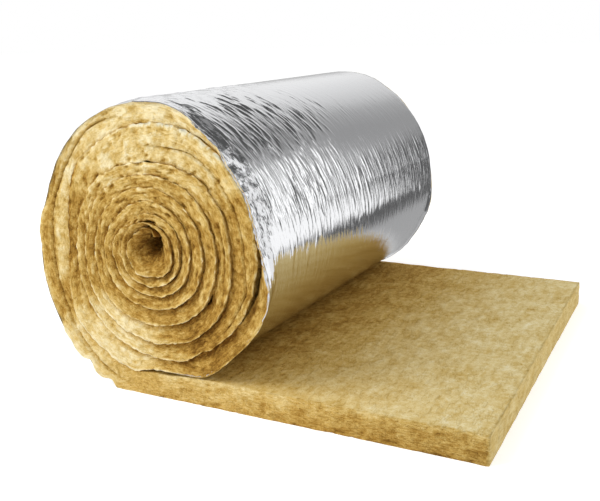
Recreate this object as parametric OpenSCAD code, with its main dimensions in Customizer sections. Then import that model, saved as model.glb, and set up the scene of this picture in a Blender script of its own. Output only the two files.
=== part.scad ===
// Faced insulation mat, wound into a coil with its free end laid out flat.
// It has two pieces: the mineral wool mat, and the aluminium facing bonded to the mat's outer side.
// The coil's axis lies along Y and the free end along +X. The floor is at Z = 0, and the origin
// is on the floor at the middle of the whole length and width.

/* [Mat] */
// Width of the mat, which is also the length of the coil
mat_w = 1000; // [600:10:1200]
// Thickness of the mat where it lies free, with its facing
mat_t = 60; // [40:1:80]
// Length of the free end, from under the coil's axis to the cut edge
free_l = 735; // [500:10:1200]
// Thickness of the foil facing
facing_t = 0.5; // [0.3:0.1:1]

/* [Coil] */
// Whole turns in the coil
turns = 7; // [3:1:9]
// Thickness of one turn squeezed in the coil, with its facing
turn_t = 35; // [25:1:45]
// Diameter of the bore through the coil's middle
bore_d = 60; // [40:1:100]

/* [Ends of the coil] */
// Depth of the hollow that the innermost turn leaves in each end
eye_l = 90; // [40:5:150]
// Wool left between the mouth of that hollow and the innermost facing
eye_lip = 9; // [4:1:15]
// Width of the gap that opens between two turns at the ends
gap_w = 3; // [1:0.5:6]
// Depth of that gap, and of the facing's edge that shows in it
gap_d = 15; // [5:1:40]

/* [Hidden] */
$fn = 96;

LEFT = -1;
RIGHT = 1;
eps = 1; // run-out of a cut past the face that it opens

// The coil is wound from half turns. Each bottom point lies one turn above the last, from the top
// of the free end upwards, and each top point one turn below the last.
coil_h = mat_t + bore_d + (2 * turns + 1) * turn_t;
function bottom_z(k) = k == 0 ? 0 : mat_t + (k - 1) * turn_t;
function top_z(k) = coil_h - k * turn_t;

// A left half turn climbs from bottom k to top k. The right one comes down to bottom k + 1.
function end_z(side, k) = bottom_z(side == LEFT ? k : k + 1);
function half_r(side, k) = (top_z(k) - end_z(side, k)) / 2;
function half_z(side, k) = (top_z(k) + end_z(side, k)) / 2;

axis_x = (half_r(LEFT, 0) - free_l) / 2; // puts the origin at mid length
bore_z = half_z(LEFT, turns);
eye_d = bore_d + 2 * (turn_t - facing_t - eye_lip);

// Half of a ring whose axis is parallel to Y, centred on the coil's axis line at height z
module half_ring(side, z, r_in, r_out, y, len) {
    translate([axis_x, y, z])
        rotate([-90, 0, 0])
            rotate([0, 0, -90 * side])
                rotate_extrude(angle = 180)
                    translate([r_in, 0])
                        square([r_out - r_in, len]);
}

// Half turn k of the coil, as a ring that reaches from r_in inside its outer face to r_out beyond it
module half_turn(side, k, inside, beyond, y, len) {
    r = half_r(side, k);
    half_ring(side, half_z(side, k), r - inside, r + beyond, y, len);
}

// The wound line from the second turn inwards, drawn as a ring of that section
module wound_line(inside, beyond, y, len) {
    for (k = [1 : turns]) half_turn(LEFT, k, inside, beyond, y, len);
    for (k = [1 : turns - 1]) half_turn(RIGHT, k, inside, beyond, y, len);
}

// The line and gap of the turns, at both ends of the coil
module at_both_ends(inside, beyond, past) {
    wound_line(inside, beyond, -mat_w / 2 - past, gap_d + past);
    wound_line(inside, beyond, mat_w / 2 - gap_d, gap_d + past);
}

// A slab of the free end, from height z0 to z1
module free_slab(z0, z1) {
    translate([axis_x, -mat_w / 2, z0]) cube([free_l, mat_w, z1 - z0]);
}

// Bore with the flared hollow at each end
module eye() {
    translate([axis_x, 0, bore_z]) {
        rotate([90, 0, 0]) cylinder(h = mat_w + 2 * eps, d = bore_d, center = true);
        for (turn = [0, 180])
            rotate([-90, 0, turn])
                translate([0, 0, mat_w / 2 - eye_l])
                    cylinder(h = eye_l, d1 = bore_d, d2 = eye_d);
    }
}

module wool_mat() {
    color("#C9A24E")
        difference() {
            union() {
                for (side = [LEFT, RIGHT])
                    half_ring(side, half_z(side, 0), 0, half_r(side, 0) - facing_t, -mat_w / 2, mat_w);
                free_slab(facing_t, mat_t);
            }
            eye();
            at_both_ends(facing_t, gap_w, eps);
        }
}

module foil_facing() {
    color("#C8CACC")
        union() {
            for (side = [LEFT, RIGHT]) half_turn(side, 0, facing_t, 0, -mat_w / 2, mat_w);
            free_slab(0, facing_t);
            at_both_ends(facing_t, 0, 0);
        }
}

wool_mat();
foil_facing();
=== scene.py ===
# A roll of mineral wool mat with a foil facing: wound into a coil, its free end lying flat beside it
import math

import bmesh
import bpy
import numpy as np
from mathutils import Matrix, Vector, noise


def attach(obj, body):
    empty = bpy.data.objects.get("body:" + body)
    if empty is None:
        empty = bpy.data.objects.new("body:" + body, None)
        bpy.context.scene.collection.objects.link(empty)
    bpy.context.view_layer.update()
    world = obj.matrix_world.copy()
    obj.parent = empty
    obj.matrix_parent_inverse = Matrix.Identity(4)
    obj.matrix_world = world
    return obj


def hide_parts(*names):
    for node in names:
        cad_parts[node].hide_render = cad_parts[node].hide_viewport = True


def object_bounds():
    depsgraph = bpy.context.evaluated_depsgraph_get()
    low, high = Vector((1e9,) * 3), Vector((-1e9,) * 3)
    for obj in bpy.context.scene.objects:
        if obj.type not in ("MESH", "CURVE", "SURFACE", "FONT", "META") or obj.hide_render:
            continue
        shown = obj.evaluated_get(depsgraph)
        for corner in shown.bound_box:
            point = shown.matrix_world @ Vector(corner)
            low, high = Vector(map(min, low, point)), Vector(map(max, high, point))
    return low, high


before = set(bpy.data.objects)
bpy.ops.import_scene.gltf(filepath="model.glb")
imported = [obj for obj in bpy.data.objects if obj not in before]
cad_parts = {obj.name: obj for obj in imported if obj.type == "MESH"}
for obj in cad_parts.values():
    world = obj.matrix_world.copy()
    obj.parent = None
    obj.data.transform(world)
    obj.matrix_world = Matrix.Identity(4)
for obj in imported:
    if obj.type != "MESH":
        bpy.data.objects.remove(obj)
cadLow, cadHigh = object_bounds()
print("frame loaded")

mm = 0.001

# how the mat is wound; angles in degrees, counted from straight under the coil, on through every turn
winding = {
    "freeLength": 0.735,  # from under the middle of the coil to the cut end
    "middleHeight": 0.333,
    "lastAngle": 8 * 360 + 200,  # where the mat's inner end lies, in the bore
    "outsideEnd": 364,  # where the outside of the coil has gone in under the next turn
    "innermost": 2500,  # where the innermost turn begins
    "flatEndRoom": 0.0635,  # height kept free under the coil for the flat end
    "foilThickness": 0.0003,
    "shoulder": 0.045,  # how far in from an end the coil reaches its full girth
    "wobble": 0.0029,  # unevenness of the turns at the ends
    "wobbleReach": 0.08,
    "sag": 0.014,  # how far the far end has settled outwards on to the flat end
    "lean": 0.15,  # slant of the foil's wrinkles
}

# the outside of the outer turn at its near end and further in: angle, radius in mm
outerTurnEnd = [
    (0, 333), (12, 340), (20, 353), (23, 341), (26, 350), (31, 350), (34, 337), (38, 346),
    (47, 339), (60, 326), (72, 317),
    (86, 304), (99, 300), (105, 291), (131, 293), (144, 299), (164, 306), (180, 312), (198, 313),
    (208, 301), (220, 294), (227, 283), (240, 279), (262, 274), (270, 280), (284, 298), (296, 297),
    (315, 289), (338, 290), (345, 281),
]
outerTurnBody = [
    (0, 333), (12, 340), (22, 349), (45, 336), (90, 305), (135, 300), (180, 316), (225, 300),
    (270, 286), (315, 280),
]
secondTurn = [
    (0, 270), (15, 287), (30, 284), (52, 276), (60, 262), (68, 245), (82, 223), (105, 220),
    (120, 233), (130, 246), (150, 249), (165, 256), (180, 266), (195, 275), (210, 279), (240, 272),
    (270, 262), (300, 253), (330, 243), (345, 246),
]
# the other turns at every 45 degrees, then the bore's wall
innerTurns = [
    (241, 225, 196, 192, 186, 207, 200, 208),
    (207, 200, 172, 165, 160, 168, 164, 168),
    (166, 168, 146, 135, 134, 133, 131, 132),
    (130, 133, 121, 103, 105, 104, 99, 102),
    (101, 103, 99, 75, 78, 79, 73, 77),
    (80, 84, 77, 66, 59, 54, 52, 60),
    (59, 66, 60, 48, 46, 14, 5, 4),
    (7, 16, 33, 37, 30, 14, 8, 8),
]
# places where a turn stands off the one inside it: angle, half its length in degrees, width in mm
gaps = [(360, 20, 8), (538, 5, 3), (572, 5, 3), (640, 26, 8), (903, 7, 4), (1385, 7, 5), (2702, 22, 6)]


def ease(x):
    x = min(max(x, 0.0), 1.0)
    return x * x * (3 - 2 * x)


def between(x, start, end, rise, fall):
    # 0 outside start and end, easing to 1 and back over the two lengths inside them
    return ease((x - start) / rise) * ease((end - x) / fall)


def rough(x, y, z):
    return noise.fractal(Vector((x, y, z)), 0.9, 2.1, 3)


def curveThrough(points, at):
    # a smooth curve through points that are not evenly spaced
    x, y = np.array(points, float).T
    slope = np.gradient(y, x)
    n = np.clip(np.searchsorted(x, at) - 1, 0, len(x) - 2)
    h = x[n + 1] - x[n]
    u = (at - x[n]) / h
    return (
        (1 + 2 * u) * (1 - u) ** 2 * y[n]
        + u * (1 - u) ** 2 * h * slope[n]
        + u**2 * (3 - 2 * u) * y[n + 1]
        + u**2 * (u - 1) * h * slope[n + 1]
    )


def turnLine(outerTurn):
    points = list(outerTurn)
    points += [(360 + a, r) for a, r in secondTurn]
    for n, radii in enumerate(innerTurns):
        points += [(720 + 360 * n + 45 * m, r) for m, r in enumerate(radii)]
    degrees = np.arange(points[-1][0] + 1)
    return curveThrough(points, degrees) * mm


endLine = turnLine(outerTurnEnd).tolist()
bodyLine = turnLine(outerTurnBody).tolist()


def along(line, angle):
    n = min(int(angle), len(line) - 2)
    return line[n] + (angle - n) * (line[n + 1] - line[n])


def pathLength(line):
    radius = np.array(line[: winding["lastAngle"] + 1])
    step = np.hypot(radius[1:] * math.radians(1), np.diff(radius))
    return np.concatenate(([0], np.cumsum(step)))


coilPath = pathLength(bodyLine)
coilMarks = coilPath.tolist()
degreeMarks = np.arange(len(coilPath))


class Station:
    # one line across the mat: where it lies along the mat and round the coil
    def __init__(self, run):
        self.run = run  # length from the cut end
        self.free = run < winding["freeLength"]
        past = max(run - winding["freeLength"], 0)
        self.angle = float(np.interp(past, coilPath, degreeMarks))
        a = math.radians(self.angle)
        self.sine, self.cosine = math.sin(a), math.cos(a)


def runAt(angle):
    return winding["freeLength"] + float(np.interp(angle, degreeMarks, coilPath))


width = cadHigh.y - cadLow.y
axisX = cadHigh.x - winding["freeLength"]
matLength = runAt(winding["lastAngle"])


def turnRadius(angle, across):
    # the line between two turns, which wanders at the ends; across is measured from the near end
    inward = min(across, width - across)
    near = across < width / 2
    radius = along(bodyLine, angle)
    shoulder = winding["shoulder"] * (1 if near else 0.4)
    if inward < shoulder:
        edge = ease(1 - inward / shoulder) * (1 if near else 0.4)
        radius += edge * (along(endLine, angle) - radius)
    if inward < winding["wobbleReach"]:
        calm = 0.5 if angle < 360 else 1
        place = along(coilMarks, angle)
        wander = noise.noise(Vector((place * 22, 3, near)))
        wander += 0.7 * noise.noise(Vector((place * 60, 7, near)))
        radius += winding["wobble"] * calm * wander * (1 - inward / winding["wobbleReach"])
    if angle < 60:
        radius = min(radius, winding["middleHeight"] / math.cos(math.radians(angle)))
    elif 295 < angle < 362:
        radius += winding["sag"] * across / width * between(angle, 295, 362, 37, 28)
        room = winding["middleHeight"] - winding["flatEndRoom"]
        radius = min(radius, room / math.cos(math.radians(angle)))
    return radius


def gapAt(angle):
    gap = (0.5 + 0.3 * math.cos(math.radians(angle))) * mm
    for centre, reach, size in gaps:
        gap += size * mm * ease(1 - abs(angle - centre) / reach)
    return gap


# the straight bar that both layers start from: one unit to each row across, through and along
def straightBar(across, through, stations):
    bm = bmesh.new()
    bmesh.ops.create_grid(bm, x_segments=across, y_segments=through, size=0.5)
    bmesh.ops.translate(bm, verts=bm.verts[:], vec=(0.5, 0.5, 0))
    bmesh.ops.scale(bm, verts=bm.verts[:], vec=(across, through, 1))
    grown = bmesh.ops.extrude_face_region(bm, geom=bm.faces[:], use_keep_orig=True)["geom"]
    raised = [g for g in grown if isinstance(g, bmesh.types.BMVert)]
    bmesh.ops.translate(bm, verts=raised, vec=(0, 0, stations))
    lengths = [e for e in bm.edges if abs(e.verts[0].co.z - e.verts[1].co.z) > 0.5]
    bmesh.ops.subdivide_edges(bm, edges=lengths, cuts=stations - 1)
    return bm


def splitColumn(bm, column, cuts, wanted):
    # adds rows between two columns, where both ends of an edge are wanted
    chosen = []
    for edge in bm.edges:
        a, b = (v.co for v in edge.verts)
        wholeSpan = abs(abs(a.x - b.x) - 1) < 0.01 and abs(min(a.x, b.x) - column) < 0.01
        if wholeSpan and wanted(a):
            chosen.append(edge)
    bmesh.ops.subdivide_edges(bm, edges=chosen, cuts=cuts)


def finishMesh(bm, name, faceted=()):
    bmesh.ops.recalc_face_normals(bm, faces=bm.faces[:])
    for face in bm.faces:
        face.smooth = face not in faceted
    mesh = bpy.data.meshes.new(name)
    bm.to_mesh(mesh)
    bm.free()
    made = bpy.data.objects.new(name, mesh)
    bpy.context.scene.collection.objects.link(made)
    print(name, sum(len(face.vertices) - 2 for face in mesh.polygons), "triangles")
    return made


mat = {
    "thickness": 0.060,
    "columns": (0, 0.006, 0.016, 0.04, 0.1, 0.9, 0.96, 0.984, 0.994, 1),  # share of the width
    "layers": (0, 0.05, 0.13, 0.25, 0.38, 0.5, 0.62, 0.75, 0.87, 0.95, 1),  # share of the thickness
    "freeStep": 0.007,
    "coilStep": 0.0045,
    "freeRows": 115,
    "faceSlope": 0.015,  # how far a turn's inner side lies behind its lip
    "borePit": 0.04,
    "lipFlare": 0.0025,
    "slant": 0.012,  # how much shorter the free end is at its far side
    "endReach": 0.1,  # how far in from an end the turns are drawn back
    "faceRow": 0.0005,  # only the rows of the cut faces lie closer to an end than this
}
# splits in the cut face: start angle, then the radius in mm at each step of 15 degrees
splits = [
    (15, (334, 322, 311, 292, 276, 267, 265, 267, 274, 288, 299)),
    (540, (218, 227, 241, 240, 237, 236, 231, 243, 238, 243)),
    (970, (187, 187, 189)),
]


def splitAt(angle):
    # radius of the split at this angle and how open it is
    for start, radii in splits:
        end = start + 15 * (len(radii) - 1)
        if start - 12 < angle < end + 12:
            marks = np.arange(len(radii)) * 15 + start
            opened = between(angle, start - 12, end + 12, 30, 30)
            return float(np.interp(angle, marks, radii)) * mm, opened
    return 0, 0


def openSplit(angle, outer, thick, through, layer):
    # gathers the middle rows of the near face round a split, the middle one as its groove
    splitRadius, opened = splitAt(angle)
    if opened == 0:
        return through, 0
    centre = (outer - splitRadius) / thick
    wide = between(angle, 105, 175, 15, 15) + between(angle, 12, 80, 15, 20)
    half = (2.2 + 2 * wide) * mm / thick
    gathered = (0, centre - half, centre, centre + half, 1)
    through += opened * (float(np.interp(layer, (0, 4, 5, 6, 10), gathered)) - through)
    if abs(layer - 5) > 0.5:
        return through, 0
    return through, opened * (10 + 5 * wide) * mm * (1 if angle < 360 else 0.6)


def faceDepth(angle, share, lower, seed):
    # how far the cut face lies behind the mat's lip: the inner side of each turn is drawn back
    last = ease((angle - winding["innermost"]) / 300)
    slope = mat["faceSlope"] * (0.35 + 0.65 * lower)
    slope += last * (mat["borePit"] - slope)
    depth = slope * share**1.5 + 5 * mm * ease(angle / 2400)
    depth += 2.5 * mm * noise.noise(Vector((angle * 0.022, 5.1, seed)))
    return depth


def matStations():
    free = round(winding["freeLength"] / mat["freeStep"])
    coil = round((matLength - winding["freeLength"]) / mat["coilStep"])
    runs = list(np.linspace(0, winding["freeLength"], free, endpoint=False))
    runs += list(np.linspace(winding["freeLength"], matLength, coil + 1))
    return free, [Station(run) for run in runs]


def buildMat():
    free, stations = matStations()
    columns, layers = mat["columns"], mat["layers"]
    top = len(layers) - 1
    bm = straightBar(len(columns) - 1, top, len(stations) - 1)
    splitColumn(bm, 4, mat["freeRows"], lambda v: v.z < 0.5 or (v.y > top - 0.5 and v.z < free))
    flat = bm.verts.layers.float_vector.new("flat")
    finish = bm.verts.layers.float_vector.new("finish")
    for v in bm.verts:
        column, layer, row = v.co
        station = stations[round(row)]
        share = float(np.interp(column, range(len(columns)), columns))
        inward = min(share, 1 - share) * width
        through = float(np.interp(layer, range(len(layers)), layers))
        if station.free:
            v.co, depth, v[finish] = freePoint(station, share, inward, through, row < 0.5)
        else:
            v.co, depth, v[finish] = coilPoint(station, share, inward, through, layer)
        v[flat] = (station.run, share * width, depth)
    return finishMesh(bm, "WoolMat")


def freePoint(station, share, inward, through, atCut):
    # a point of the flat end: place, depth in the mat, and its tone, contrast and paleness, which carry
    # painted light and shade
    x = cadHigh.x - station.run
    y = cadLow.y + share * width
    side = 1 if share < 0.5 else -1
    thick = mat["thickness"] + 0.5 * mm + 3 * mm * share
    thick -= 6 * mm * ease(1 - (x - axisX) / 0.12)
    lump = rough(x * 14, y * 14, 2)
    wrinkle = noise.noise(Vector((x * 55 + 2 * lump, y * 22, 5)))
    thick += 1.2 * mm * lump + 0.6 * mm * wrinkle - 0.5 * mm * abs(wrinkle)
    z = through * thick
    onSide = inward < mat["faceRow"]
    # painted shadow of the coil over the flat end's top, fading towards its front edge; it darkens the tone
    # and raises the contrast
    shaded = ease(1 - (x - axisX - 0.1) / (0.33 + 0.2 * share)) * ease(0.4 + share / 0.3)
    tone = 0.64 + 0.08 * lump + 0.1 * wrinkle - 0.33 * shaded
    contrast = 0.42 + 0.15 * shaded
    # painted light: the flat end is paler away from the coil, where the light falls on it directly
    pale = ease((x - axisX - 0.32) / 0.4) * (0.5 if onSide else 0.75)
    if onSide or atCut:
        place = y if atCut else x
        bulge = rough(place * 26, z * 60, 4 + side)
        push = 1.5 * mm * noise.noise(Vector((place * 5, 1, side))) - 1.3 * mm * bulge
        push += 1.0 * mm * through**6 + 0.8 * mm * (1 - through) ** 6
        pit = ease((noise.noise(Vector((place * 45, z * 190, 9 + side))) - 0.25) / 0.25) * onSide
        push += 2.5 * mm * pit
        # painted light and shade on the side faces: lighter towards the top and darker towards the floor,
        # darker to the right, away from the light, and darker in the torn pits
        tone = 0.5 + 0.12 * bulge + 0.12 * through**3 - 0.1 * (1 - through) ** 2
        tone += 0.05 - 0.17 * ease((x - axisX - 0.1) / 0.5)
        tone -= 0.14 * pit
        contrast = 0.75
        # painted light: the cut end face gets a lighter tone, for the light that falls on it from the right
        if atCut:
            tone, contrast = 0.57 + 0.06 * bulge, 0.4
        if onSide:
            y += side * max(push, -1 * mm)
        if atCut:
            x -= max(0.6 * push, -0.5 * mm)
    x -= mat["slant"] * share * ease(1 - station.run / 0.3)
    return Vector((x, y, z)), z, (tone, contrast, pale)


def coilPoint(station, share, inward, through, layer):
    # the same for a point of the coil; layer is its place among the rows through the thickness
    angle = station.angle
    near = share < 0.5
    outer = turnRadius(angle, share * width) - winding["foilThickness"]
    inner = turnRadius(angle + 360, share * width) + gapAt(angle + 360)
    thick = max(outer - inner, 4 * mm)
    onFace = inward < mat["faceRow"]
    if angle < winding["outsideEnd"] and not onFace:
        # room for the foil's folds
        outer -= 1.2 * mm * ease(inward / (8 * mm))
        folds = ease(inward / (14 * mm)) * ease((0.1 - inward) / 0.05) * near
        outer -= 4 * mm * folds * between(angle, 150, 340, 40, 20)
    groove = 0
    if onFace and near:
        through, groove = openSplit(angle, outer, thick, through, layer)
    depth = through * thick
    radius = outer - depth
    last = ease((angle - winding["innermost"]) / 250)
    # painted shade: the innermost turns, deep in the bore, are darker
    tone, contrast, pale = 0.35 - 0.18 * last, 0.74, 0
    y = inward
    if inward < mat["endReach"]:
        fade = (1 - inward / mat["endReach"]) ** 2
        begun = ease(angle / 45)
        seed = 1 if near else 40
        back = faceDepth(angle, through, 0.5 + 0.5 * station.cosine, seed) + groove
        # the innermost turn is creased and leans over
        radius += last * through * 7 * mm * noise.noise(Vector((angle * 0.045, inward * 30, 4)))
        if onFace:
            relief = faceRelief(station, depth, seed)
            bulge, grain, ragged, pit = relief
            back -= (3.0 + 5 * last) * mm * bulge + 1.5 * mm * grain - 4 * mm * pit
            flare = mat["lipFlare"] * (0.15 if angle < 360 else 1.2)
            radius += flare * (0.4 + ragged) * math.exp(-depth / (2.5 * mm))
            tone, pale = faceTone(station, depth, through, seed, relief)
            # painted shade in the split's groove, and deeper down the bore
            tone -= 52 * min(groove, 10 * mm) + 0.12 * last * (0.4 + through)
            tone = 0.47 + begun * (tone - 0.47)
        y += fade * begun * max(back, -2 * mm)
    y = cadLow.y + y if near else cadHigh.y - y
    x = axisX - radius * station.sine
    z = winding["middleHeight"] - radius * station.cosine
    return Vector((x, y, max(z, 0.3 * mm))), depth, (tone, contrast, pale)


def faceRelief(station, depth, seed):
    # the cut face at this depth in the mat: broad bulges, grain, raggedness of the lip, and torn pits
    run = station.run
    bulge = rough(run * 20, depth * 85, seed)
    grain = noise.noise(Vector((run * 75, depth * 230, seed)))
    ragged = noise.noise(Vector((run * 55, 2, seed)))
    ragged += 0.6 * noise.noise(Vector((run * 140, 8, seed)))
    pit = ease((noise.noise(Vector((run * 48, depth * 150, seed + 7))) - 0.25) / 0.25)
    pit *= (0.5 - 0.5 * station.cosine) * ease((station.angle - 330) / 60)
    return bulge, grain, ragged, pit


def faceTone(station, depth, through, seed, relief):
    # the cut face's tone, with painted light and shade in it, and how pale
    angle = station.angle
    lower = 0.5 + 0.5 * station.cosine
    bulge, grain, ragged, pit = relief
    # painted highlight, partly also paler fluffed wool: the lip of each turn is lighter, most on the lower
    # turns, which face the light from above
    lip = math.exp(-depth / (1.6 * mm)) * ease(0.3 + 0.45 * lower + 0.8 * ragged)
    blotch = rough(station.run * 34, depth * 60, seed + 20)
    # painted light: the outer turns are lighter over the top, where the light from above falls on them,
    # partly also paler wool; further in the turns keep a deeper gold
    crown = ease((-station.cosine - 0.25) / 0.75) * ease((1750 - angle) / 1550)
    # painted light and shade: the bottom of the outer turns is lighter on the left, towards the light, and
    # darker on the right
    foot = ease((station.cosine - 0.4) / 0.4) * ease((1500 - angle) / 400)
    foot *= -0.4 + 1.4 * ease(0.6 + station.sine)
    # painted light: turn 0's inner half on the left is lighter, where it stands forward into the light from
    # the left
    paintedLitInnerHalf = between(angle, 62, 140, 15, 15) * ease((through - 0.45) * 8)
    shadow = between(angle, 425, 510, 20, 20)
    strip = between(angle, 532, 592, 10, 12) * ease(1.2 - depth / (7 * mm))
    strip *= ease(0.5 + 1.5 * ragged)
    # bulges lighter and hollows darker, partly the wool's own mottling and partly painted shade; the upper
    # half lighter with painted light; painted shade on the inner side of each lower turn, under the next
    # turn's lip, and in the torn pits
    tone = 0.37 + 0.27 * bulge + 0.2 * grain + 0.48 * lip * (1 - shadow)
    tone += (0.36 + 0.26 * blotch) * crown + 0.28 * paintedLitInnerHalf + 0.4 * foot
    tone += 0.05 * (1 - lower) + 0.5 * strip
    tone -= shadow * (0.08 + 0.3 * math.exp(-depth / (4 * mm)))
    tone -= 0.22 * ease(through * 2 - 1) * lower + 0.35 * pit
    return tone, strip


foil = {
    "edgeBand": 0.05,  # the crumpled band along each edge
    "wrapRows": 290,
    "crease": 0.0022,
    "tab": 0.004,  # foil folded over the end face
}


def foilStations():
    # finest where the outside of the coil shows its creases: angles from, to and the length of a step
    lastAngle = winding["lastAngle"] - 3
    steps = [(0, 170, 15 * mm), (170, 335, 5.6 * mm), (335, 365, 10 * mm), (365, lastAngle, 8 * mm)]
    runs = list(np.linspace(0, winding["freeLength"], 30, endpoint=False))
    for start, end, step in steps:
        first, last = runAt(start), runAt(end)
        runs += list(np.linspace(first, last, round((last - first) / step), endpoint=False))
    return [Station(run) for run in runs]


def buildFoil():
    stations = foilStations()
    bm = straightBar(5, 1, len(stations) - 1)

    def onWrap(v):
        station = stations[round(v.z)]
        return not station.free and station.angle < winding["outsideEnd"]

    def outside(v):
        return v.y < 0.5 and onWrap(v)

    for column, cuts, wanted in ((2, foil["wrapRows"], outside), (0, 8, onWrap), (1, 15, onWrap),
                                 (3, 6, onWrap), (4, 3, onWrap)):
        splitColumn(bm, column, cuts, wanted)
    flat = bm.verts.layers.float_vector.new("flat")
    creased = bm.verts.layers.float.new("creased")
    for v in bm.verts:
        column, skin, row = v.co
        station = stations[round(row)]
        v.co, across = foilPoint(station, column, skin)
        crumpled = 0 if station.free else ease(1.3 - across / foil["edgeBand"])
        v[flat] = (station.run, across - winding["lean"] * station.run, crumpled)
        v[creased] = creasedAt(across, station.angle)
    # the crumpled edge keeps its small flat facets
    faceted = {face for face in bm.faces if all(v[flat].z > 0.35 for v in face.verts)}
    return finishMesh(bm, "FoilFacing", faceted)


def foldAt(angle):
    # where the near hem is folded over the end face: on the right, with a break at 290 degrees
    upper = ease((290 - angle) / 6)
    lower = between(angle, 290, 346, 10, 6)
    return ease((angle - 203) / 6) * (upper + lower)


def foilPoint(station, column, skin):
    angle = station.angle
    band = foil["edgeBand"]
    near = column < 2.5
    step = column if near else 5 - column
    side = cadLow.y if near else cadHigh.y
    into = 1 if near else -1
    if station.free:
        inset = 3 * mm
        inward = float(np.interp(step, (0, 1, 2), (inset, inset + 2 * mm, band)))
        across = inward if near else width - inward
        z = skin * winding["foilThickness"]
        x = cadHigh.x - station.run - 2 * mm * (station.run < 1 * mm)
        x -= mat["slant"] * across / width * ease(1 - station.run / 0.3)
        return Vector((x, side + into * inward, z)), across
    inset = foilInset(angle, near)
    inward = float(np.interp(step, (1, 2), (inset, band)))
    if 2 < column < 3:
        share = (column - 2) ** 1.3
        inward = band + share * (width - 2 * band)
    across = inward if near or 2 < column < 3 else width - inward
    if 2 < column < 3:
        side, into = cadLow.y, 1
    radius = turnRadius(angle, across)
    y = side + into * inward
    radius -= skin * winding["foilThickness"]
    if angle < winding["outsideEnd"]:
        if 2 <= step <= 3 and skin > 0.5:
            radius -= 1.2 * mm
        else:
            radius += creaseHeight(station.run, across, angle)
        if step < 1:
            back = 1 - step
            fold = foldAt(angle) if near else 0
            length = foil["tab"] * (0.8 + 1.1 * noise.noise(Vector((station.run * 35, 3, 8))))
            crumple = 7 * mm * abs(noise.noise(Vector((station.run * 60, back * 2, 4))))
            straight = -into * 1.2 * mm * back
            folded = -into * crumple * min(back * 4, 1)
            y += straight + fold * (folded - straight)
            radius -= back * (1 * mm + fold * length)
    elif step < 1:
        y -= into * 1.5 * mm * (1 - step)
    x = axisX - radius * station.sine
    z = winding["middleHeight"] - radius * station.cosine
    return Vector((x, y, max(z, skin * winding["foilThickness"]))), across


def foilInset(angle, near):
    # how far the foil's edge lies behind the wool
    if angle < winding["outsideEnd"]:
        # it stands proud over the top, and is torn below on the right
        proud = between(angle, 95, 205, 20, 15)
        torn = between(angle, 293, 338, 5, 6)
        tear = 7 * mm + 14 * mm * noise.noise(Vector((angle * 0.14, 4, 4)))
        return (1.5 - 4 * proud * near) * mm + (max(0, tear) * torn if near else 0)
    inset = mat["faceSlope"] + 4 * mm
    if near:
        # it comes forward where it shows between two turns
        shows = between(angle, 530, 580, 10, 10) + between(angle, 618, 668, 10, 10)
        inset -= shows * 13 * mm
    return inset


def creasedAt(across, angle):
    # on the right the far half is tighter, and smooth over the top
    calm = (0.3 + 0.55 * ease((258 - angle) / 28)) * ease((across - 0.25) / 0.3)
    return 1 - calm * ease((angle - 135) / 35)


def creaseHeight(run, across, angle):
    # short slanting wrinkles round the coil, strongest at the near end and over the top
    lean = across - winding["lean"] * run
    strength = (0.6 + 0.4 * ease((angle - 140) / 50)) * ease((292 - angle) / 25)
    low = max(0.45 * ease((angle - 245) / 20), 0.8 * ease((150 - angle) / 30))
    strength *= max(0.3 + 0.7 * ease((0.8 - across) / 0.6), low)
    strength *= creasedAt(across, angle) * (1 - 0.55 * ease((angle - 243) / 12))
    field = noise.noise(Vector((lean * 125, run * 25, 0.5)))
    second = noise.noise(Vector((lean * 80 + 9, run * 27, 3.5)))
    patchy = 0.3 + 1.3 * ease(0.5 + noise.noise(Vector((across * 7, run * 7, 11))))
    wrinkles = 2.0 * max(0, field - 0.1) - 1.3 * max(0, second - 0.15)
    height = foil["crease"] * strength * patchy * wrinkles
    height += 0.3 * mm * noise.noise(Vector((lean * 40, run * 9, 6))) * creasedAt(across, angle)
    height = max(height, -0.9 * mm)
    if across < foil["edgeBand"]:
        # the near edge is drawn in, with a crumpled ridge behind it
        ridge = ease(1 - abs(across - ridgeAt(angle)) / (14 * mm))
        drawn = ease(1 - across / foil["edgeBand"])
        facets = noise.voronoi(Vector((run * 15, across * 80, 2)))[0][0]
        small = noise.voronoi(Vector((run * 38, across * 150, 5)))[0][0]
        height += (ridge + 0.4 * drawn) * (5 * mm * (0.5 - facets) + 1.8 * mm * (0.4 - small))
        height += 2.5 * mm * ridge - 1 * mm * drawn
        height += 0.4 * mm * noise.noise(Vector((run * 60, across * 280, 1))) * (0.5 + ridge)
        height = max(height, -3.5 * mm * ease(across / (14 * mm)))
        height *= between(angle, 172, 340, 35, 20)
    return height * between(angle, -5, 370, 30, 30)


def ridgeAt(angle):
    return (28 + 30 * ease((212 - angle) / 30)) * mm + 8 * mm * noise.noise(Vector((angle * 0.07, 9, 9)))


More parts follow.
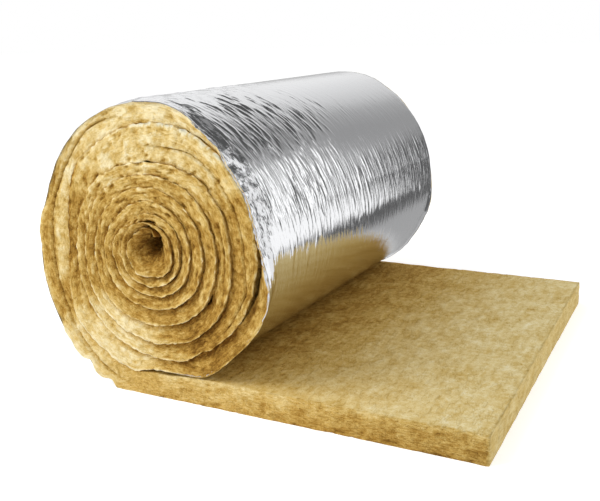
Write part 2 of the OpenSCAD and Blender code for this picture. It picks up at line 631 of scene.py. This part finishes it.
class Value:
    # one output of a shader node; arithmetic on it adds Math nodes
    def __init__(self, tree, socket=None):
        self.tree, self.socket = tree, socket

    def node(self, kind, settings=None, inputs=None, output=0):
        made = self.tree.nodes.new("ShaderNode" + kind)
        for name, setting in (settings or {}).items():
            if name == "stops":
                ramp = made.color_ramp
                while len(ramp.elements) < len(setting):
                    ramp.elements.new(0.5)
                for element, (place, colour) in zip(ramp.elements, setting):
                    element.position = place
                    element.color = (*colour, 1)
            else:
                setattr(made, name, setting)
        for name, given in (inputs or {}).items():
            if isinstance(given, Value):
                self.tree.links.new(given.socket, made.inputs[name])
            else:
                made.inputs[name].default_value = given
        return Value(self.tree, made.outputs[output] if made.outputs else None)

    def maths(self, operation, first, second=0.0):
        return self.node("Math", {"operation": operation}, {0: first, 1: second})

    def __add__(self, other):
        return self.maths("ADD", self, other)

    def __radd__(self, other):
        return self.maths("ADD", other, self)

    def __sub__(self, other):
        return self.maths("SUBTRACT", self, other)

    def __rsub__(self, other):
        return self.maths("SUBTRACT", other, self)

    def __mul__(self, other):
        return self.maths("MULTIPLY", self, other)

    def __rmul__(self, other):
        return self.maths("MULTIPLY", other, self)

    def clamped(self, low, high):
        inputs = {"Value": self, "From Min": low, "From Max": high}
        return self.node("MapRange", {"interpolation_type": "SMOOTHSTEP"}, inputs)

    def mixed(self, first, second):
        # from first to second as this value goes from 0 to 1
        return self.node("Mix", {"data_type": "RGBA"}, {0: self, 6: first, 7: second}, 2)

    def noise(self, stretch, detail, roughness=0.55):
        # this vector, stretched, as the place that a noise is read at
        place = self.node("VectorMath", {"operation": "MULTIPLY"}, {0: self, 1: stretch})
        inputs = {"Vector": place, "Scale": 1.0, "Detail": detail, "Roughness": roughness}
        return place.node("TexNoise", None, inputs)


def newMaterial(name):
    material = bpy.data.materials.new(name)
    material.use_nodes = True
    material.node_tree.nodes.clear()
    return material, Value(material.node_tree)


def finishMaterial(start, shaderInputs):
    shader = start.node("BsdfPrincipled", None, shaderInputs)
    start.node("OutputMaterial", None, {"Surface": shader})


wool = {
    # from the deepest hollows to the fluffed lips; the darkest stops carry painted shade, the palest
    # painted highlights
    "tones": [
        (0.0, (0.17, 0.075, 0.010)),
        (0.28, (0.42, 0.232, 0.042)),
        (0.5, (0.62, 0.41, 0.115)),
        (0.72, (0.78, 0.60, 0.265)),
        (1.0, (0.92, 0.80, 0.50)),
    ],
    "paleTint": (0.95, 1.06, 1.33),
    "roughness": 0.95,
}


def woolMaterial():
    material, start = newMaterial("mineral wool")
    flat = start.node("Attribute", {"attribute_name": "flat"}, None, 1)
    finish = start.node("Attribute", {"attribute_name": "finish"}, None, 1)
    tone = finish.node("SeparateXYZ", None, {0: finish})
    contrast = finish.node("SeparateXYZ", None, {0: finish}, 1)
    pale = finish.node("SeparateXYZ", None, {0: finish}, 2)
    patches = flat.noise((20, 20, 35), 2)
    clumps = flat.noise((75, 85, 270), 4, 0.65)
    fibres = flat.noise((330, 260, 800), 3, 0.7)
    ripples = flat.noise((70, 24, 60), 2)
    # thin wandering wrinkles, where another noise crosses its middle value, darkened with painted shade in
    # them
    wrinkles = flat.noise((34, 13, 90), 3, 0.6) - 0.5
    wrinkles = wrinkles.maths("ABSOLUTE", wrinkles).clamped(0.02, 0)
    specks = flat.noise((240, 210, 420), 1).clamped(0.66, 0.74)
    tone = tone + contrast * ((clumps - 0.5) * 1.2 + (fibres - 0.5) * 1.0 + (patches - 0.5) * 0.4)
    tone = tone + (ripples - 0.5) * 0.32 - wrinkles * 0.09 - specks * contrast * 0.4
    colour = tone.node("ValToRGB", {"stops": wool["tones"]}, {0: tone})
    # paler where the attribute says: painted light on the flat end away from the coil, and where the foil
    # shows between turns
    paler = {"data_type": "RGBA", "blend_type": "MULTIPLY"}
    colour = pale.node("Mix", paler, {0: pale, 6: colour, 7: (*wool["paleTint"], 1)}, 2)
    height = clumps * 0.0024 + fibres * 0.0012 + ripples * 0.006 - wrinkles * 0.001
    bump = start.node("Bump", None, {"Strength": 0.8, "Distance": 1.0, "Height": height})
    finishMaterial(
        start,
        {"Base Color": colour, "Roughness": wool["roughness"], "Normal": bump, "Specular IOR Level": 0.1},
    )
    return material


def foilMaterial():
    material, start = newMaterial("aluminium foil")
    flat = start.node("Attribute", {"attribute_name": "flat"}, None, 1)
    crumpled = flat.node("SeparateXYZ", None, {0: flat}, 2)
    creased = start.node("Attribute", {"attribute_name": "creased"}, None, 2)
    crinkle = flat.noise((15, 100, 0), 3, 0.6)
    fine = flat.noise((140, 420, 0), 2, 0.5)
    folds = flat.noise((12, 110, 0), 2, 0.5)
    roughness = 0.07 + 0.06 * crinkle
    height = (0.2 + 0.8 * creased) * (crinkle * 0.0014 + fine * 0.0001) + crumpled * folds * 0.0012
    bump = start.node("Bump", None, {"Strength": 0.8, "Distance": 1.0, "Height": height})
    finishMaterial(
        start,
        {"Base Color": (0.83, 0.835, 0.85, 1), "Metallic": 1.0, "Roughness": roughness, "Normal": bump},
    )
    return material


def putOn(piece, material, node):
    piece.data.materials.append(material)
    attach(piece, "root")
    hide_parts(node)


putOn(buildMat(), woolMaterial(), "wool_mat")
putOn(buildFoil(), foilMaterial(), "foil_facing")
print("both layers wound")

studio = {
    "cameraPlace": (0.86675, -1.8529, 0.7745),
    "turn": -27.7733,  # degrees
    "down": 14.8452,
    "roll": -1.6555,
    "lens": 50,
    "floorSize": 60,
    "floorGlow": 0.47,
    "surround": 0.68,  # brightness of the white surroundings as the wool sees them
    # what the foil reflects, as shares of the brightest: by the direction behind the coil, from -60 to
    # 60 degrees to the right, well above the floor and close to it
    "brightest": 1.35,
    "sideways": [(0.16, 0.76), (0.33, 0.66), (0.44, 0.55), (0.5, 0.46), (0.54, 0.32), (0.6, 0.25),
                 (0.67, 0.26), (0.705, 0.42), (0.73, 0.75), (0.76, 1.0)],
    "lowDown": [(0.3, 0.4), (0.5, 0.22), (0.58, 0.08), (0.68, 0.08), (0.7, 0.18), (0.725, 0.6),
                (0.76, 1.0)],
    "overhead": 0.07,
    "straightUp": 0.22,
    "panels": 0.75,
}


def makeCamera():
    turn, down, roll = (math.radians(studio[name]) for name in ("turn", "down", "roll"))
    forward = Vector((math.sin(turn) * math.cos(down), math.cos(turn) * math.cos(down), -math.sin(down)))
    right = Vector((math.cos(turn), -math.sin(turn), 0))
    up = right.cross(forward)
    tiltedRight = math.cos(roll) * right + math.sin(roll) * up
    tiltedUp = math.cos(roll) * up - math.sin(roll) * right
    data = bpy.data.cameras.new("camera")
    data.lens = studio["lens"]
    data.clip_end = 100
    camera = bpy.data.objects.new("camera", data)
    place = Matrix((tiltedRight, tiltedUp, -forward)).transposed().to_4x4()
    place.translation = studio["cameraPlace"]
    camera.matrix_world = place
    bpy.context.scene.collection.objects.link(camera)
    bpy.context.scene.camera = camera


def makeFloor():
    bm = bmesh.new()
    bmesh.ops.create_grid(bm, x_segments=1, y_segments=1, size=studio["floorSize"] / 2)
    mesh = bpy.data.meshes.new("floor")
    bm.to_mesh(mesh)
    bm.free()
    floor = bpy.data.objects.new("floor", mesh)
    bpy.context.scene.collection.objects.link(floor)
    material, start = newMaterial("white floor")
    plain = start.node(
        "BsdfPrincipled",
        None,
        {
            "Base Color": (0.85, 0.85, 0.85, 1),
            "Roughness": 0.9,
            "Specular IOR Level": 0.0,
            "Emission Color": (1, 1, 1, 1),
            "Emission Strength": studio["floorGlow"],
        },
    )
    # in the foil the floor is dim behind the coil, with a bright strip to its right; on its left it has a
    # painted shadow near the coil, then a darker band and brighter floor beyond
    place = start.node("TexCoord", None, None, 3)
    x = start.node("SeparateXYZ", None, {0: place}, 0)
    y = start.node("SeparateXYZ", None, {0: place}, 1)
    behind = y.clamped(0.5, 0.75)
    besideCoil = x.clamped(0.34, 0.26)
    strip = x.clamped(0.58, 0.74) * (y - 1.81 * x).clamped(0.75, 0.25)
    dim = 0.12 + 0.28 * besideCoil + 1.0 * strip
    shade = x.clamped(-0.45, -0.5) - x.clamped(-0.52, -0.8)
    infront = 0.95 - 0.6 * shade - 0.5 * x.clamped(-0.85, -1.4) + 0.35 * x.clamped(-1.6, -2.4)
    bright = infront + behind * (dim - infront)
    mirrored = start.node("Emission", None, {"Strength": bright})
    glossy = start.node("LightPath", None, None, 3)
    mixed = start.node("MixShader", None, {0: glossy, 1: plain, 2: mirrored})
    start.node("OutputMaterial", None, {"Surface": mixed})
    mesh.materials.append(material)


def grey(brightness):
    return (brightness, brightness, brightness, 1)


def reflectedStops(name):
    return [(place, grey(brightness)[:3]) for place, brightness in studio[name]]


def makeWorld():
    # plain white all round, except in the foil
    world = bpy.data.worlds.new("studio")
    bpy.context.scene.world = world
    world.use_nodes = True
    world.node_tree.nodes.clear()
    start = Value(world.node_tree)
    direction = start.node("TexCoord", None, None, 0)
    x = start.node("SeparateXYZ", None, {0: direction}, 0)
    y = start.node("SeparateXYZ", None, {0: direction}, 1)
    z = start.node("SeparateXYZ", None, {0: direction}, 2)
    turned = start.maths("ARCTAN2", x, y) * (180 / math.pi)
    behind, lowDown = (
        start.node("ValToRGB", {"stops": reflectedStops(name)}, {0: (turned + 60) * (1 / 120)})
        for name in ("sideways", "lowDown")
    )
    behind = z.clamped(0.08, 0.24).mixed(lowDown, behind)
    top = grey(studio["overhead"])
    leftwards = turned.clamped(5, -20)
    behind = (z - 0.22 * leftwards).clamped(0.42, 0.56).mixed(behind, top)
    # to the sides and in front, tall white panels with dark gaps
    panels = start.maths("SINE", turned * 0.1745 + 1.92).clamped(-0.7, -0.3)
    infront = panels.mixed(top, grey(studio["panels"]))
    infront = z.clamped(0.55, 0.8).mixed(infront, top)
    beyond = start.maths("MAXIMUM", y.clamped(0.05, -0.25), turned.clamped(40, 45))
    mirrored = beyond.mixed(behind, infront)
    mirrored = z.clamped(0.9, 0.98).mixed(mirrored, grey(studio["straightUp"]))
    brightest = grey(studio["brightest"])[:3]
    mirrored = mirrored.node("VectorMath", {"operation": "MULTIPLY"}, {0: mirrored, 1: brightest})
    glossy = start.node("LightPath", None, None, 3)
    colour = glossy.mixed(grey(studio["surround"]), mirrored)
    seen = start.node("LightPath")
    colour = seen.mixed(colour, grey(1))
    background = start.node("Background", None, {"Color": colour, "Strength": 1.0})
    start.node("OutputWorld", None, {"Surface": background})


def addLight(name, place, target, size, energy):
    # the foil doesn't mirror the lights themselves
    data = bpy.data.lights.new(name, "AREA")
    data.size = size
    data.energy = energy
    light = bpy.data.objects.new(name, data)
    facing = Vector(target) - Vector(place)
    turned = facing.to_track_quat("-Z", "Y").to_matrix().to_4x4()
    turned.translation = place
    light.matrix_world = turned
    light.visible_glossy = False
    bpy.context.scene.collection.objects.link(light)


makeCamera()
makeFloor()
makeWorld()
addLight("key", (-2.0, -1.8, 3.0), (-0.1, -0.1, 0.2), 2.0, 75)
addLight("side", (3.0, 1.0, 0.9), (0.4, 0.2, 0.05), 1.2, 11)
bpy.context.scene.view_settings.view_transform = "Standard"
print("studio lit")
